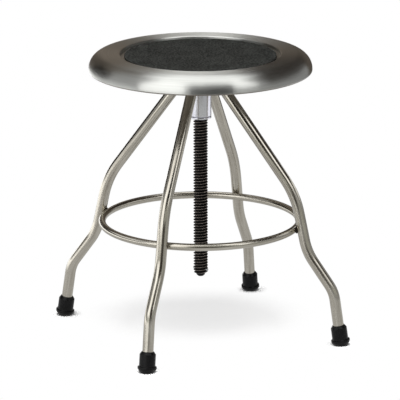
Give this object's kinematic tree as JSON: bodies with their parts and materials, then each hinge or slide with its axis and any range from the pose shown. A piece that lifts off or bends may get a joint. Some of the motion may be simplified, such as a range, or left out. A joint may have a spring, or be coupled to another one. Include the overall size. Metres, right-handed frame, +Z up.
{
  "type": "medical stool",
  "caption": "Revolving stool: round spun metal seat with a black mat on a lift screw, bent tube legs, foot ring and rubber tips.",
  "frame": {"origin": "on the floor below the screw, in the middle of the four feet", "axes": "+Z up along the lift screw, which is the seat's axis; the legs stand on +X, +Y, -X and -Y"},
  "size_m": [0.5556, 0.5556, 0.5024],
  "materials": {
    "tube_stainless": "brushed stainless steel tube",
    "shell_stainless": "spun satin stainless steel",
    "hub_polished": "polished stainless steel",
    "bush_bronze": "oiled bearing bronze",
    "black_oxide": "black oxide, oiled",
    "bright_steel": "bright zinc plate",
    "nylon": "natural nylon",
    "tip_rubber": "black moulded rubber",
    "mat_rubber": "fine grained black rubber sheet"
  },
  "bodies": {
    "stand": {"hub_sleeve": "hub_polished", "lift_nut": "hub_polished", "guide_bush": "bush_bronze", "foot_ring": "tube_stainless", "leg_1": "tube_stainless", "leg_2": "tube_stainless", "leg_3": "tube_stainless", "leg_4": "tube_stainless", "foot_tip_1": "tip_rubber", "foot_tip_2": "tip_rubber", "foot_tip_3": "tip_rubber", "foot_tip_4": "tip_rubber", "tip_washer_1": "bright_steel", "tip_washer_2": "bright_steel", "tip_washer_3": "bright_steel", "tip_washer_4": "bright_steel"},
    "washer": {"jam_washer": "nylon"},
    "seat": {"lift_screw": "black_oxide", "stop_pin": "bright_steel", "seat_flange": "bright_steel", "stiffener_disc": "bright_steel", "flange_studs": "bright_steel", "stud_nuts": "bright_steel", "seat_shell": "shell_stainless", "seat_mat": "mat_rubber"}
  },
  "joints": [
    {"name": "seat_lift", "type": "slide", "parent": "stand", "child": "washer", "axis": [0, 0, 1], "range_m": [-0.0058, 0.2719]},
    {"name": "seat_turn", "type": "hinge", "parent": "washer", "child": "seat", "pos_m": [0, 0, 0.4], "axis": [0, 0, 1], "range_deg": [-411.02, 19268.5]}
  ],
  "couplings": [
    {"joint": "seat_lift", "follows": "seat_turn", "m_per_rad": 0.00080851}
  ]
}
